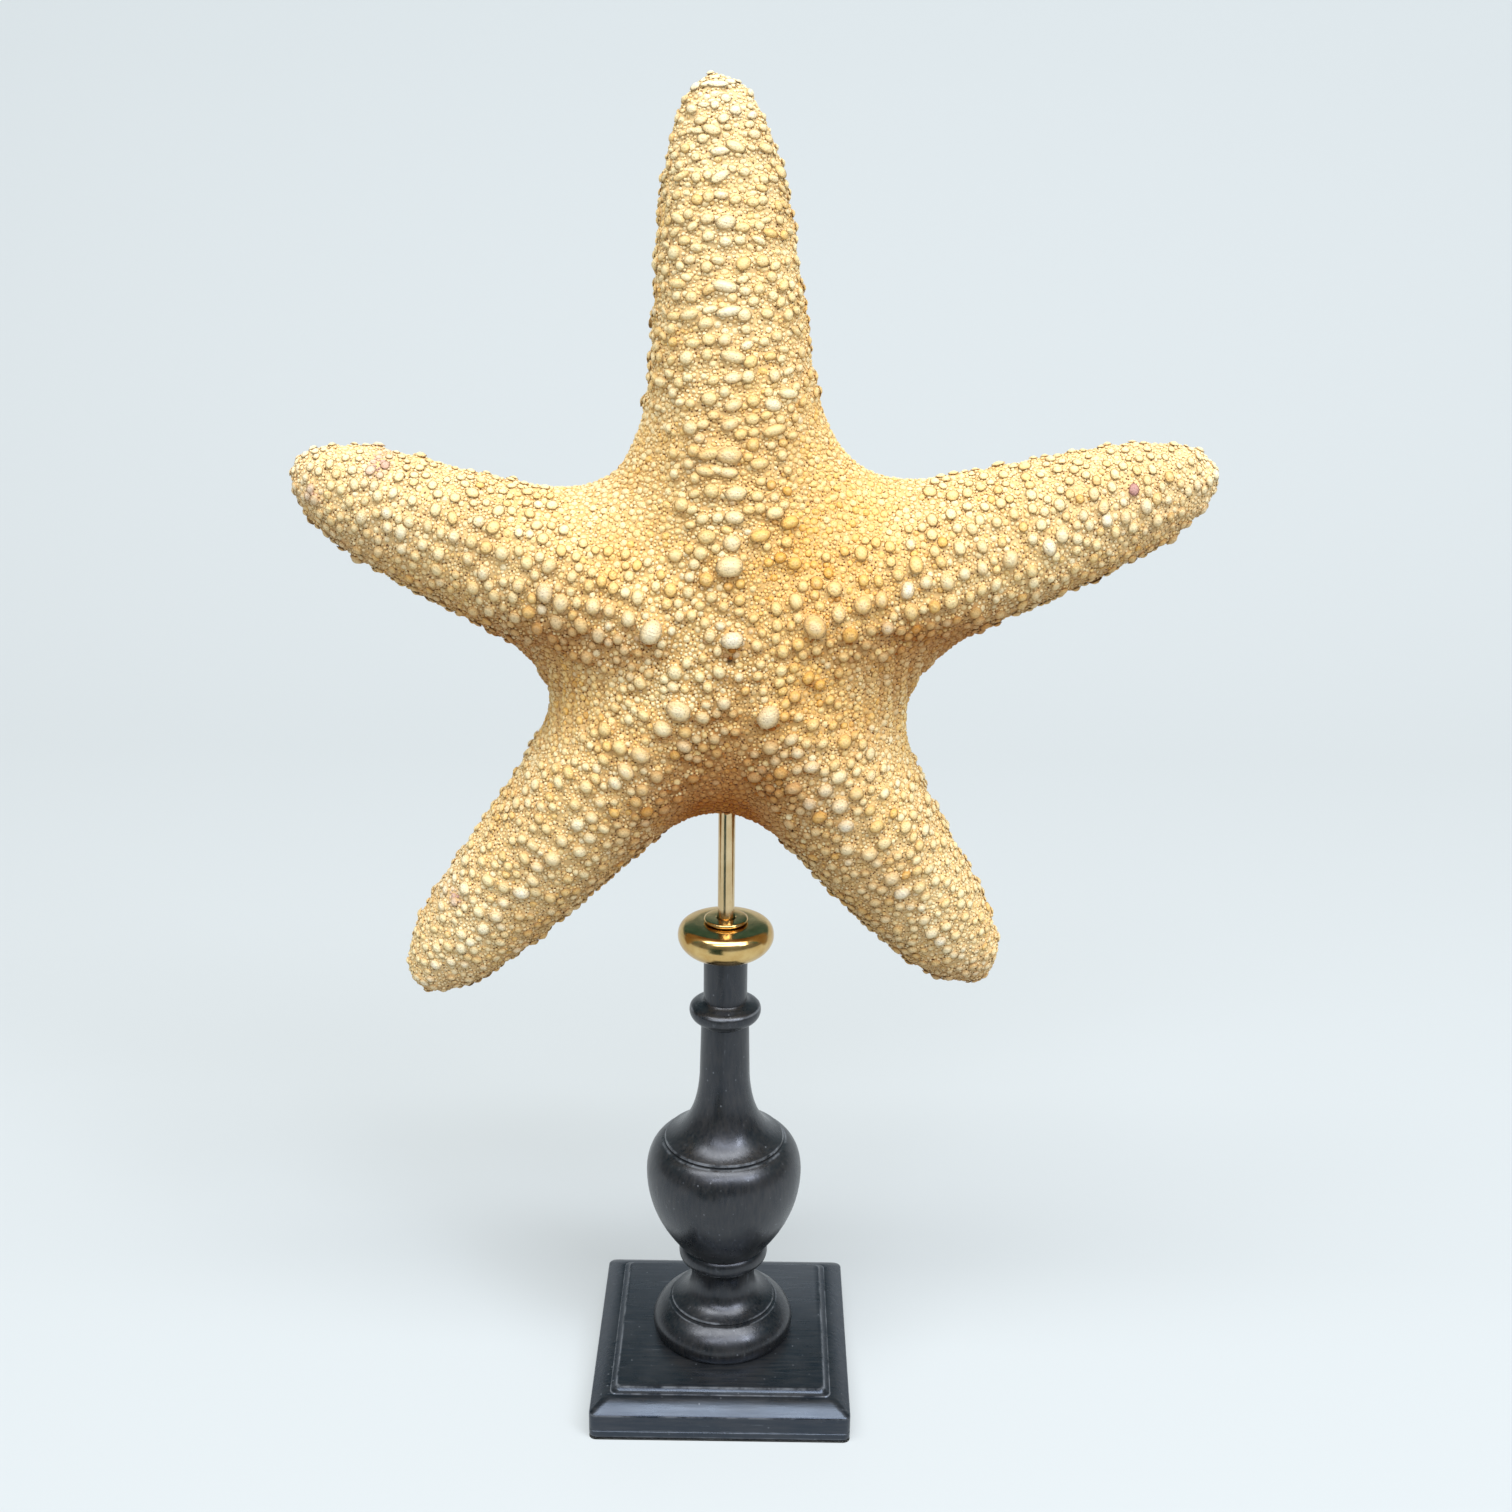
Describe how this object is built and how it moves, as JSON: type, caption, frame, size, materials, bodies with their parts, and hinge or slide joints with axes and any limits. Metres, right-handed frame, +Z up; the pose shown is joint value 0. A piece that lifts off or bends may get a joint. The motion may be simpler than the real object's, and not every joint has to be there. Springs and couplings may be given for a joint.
{
  "type": "dried starfish",
  "caption": "Dried knobbly starfish held upright on a slim brass rod above a turned baluster stand with a stepped square plinth, for display.",
  "frame": {"origin": "centre of the plinth's underside, on the surface the part stands on", "axes": "+Z up along the column and rod; -Y out of the starfish's knobbly upper side; +X to the right of someone facing that side"},
  "size_m": [0.2565, 0.08, 0.3937],
  "materials": {
    "starfish_skeleton": "matte",
    "polished_brass": "polished",
    "ebonised_wood": "satin"
  },
  "bodies": {
    "root": {"starfish": "starfish_skeleton", "rod": "polished_brass", "washer": "polished_brass", "cap": "polished_brass", "column": "ebonised_wood", "plinth": "ebonised_wood"}
  },
  "joints": []
}
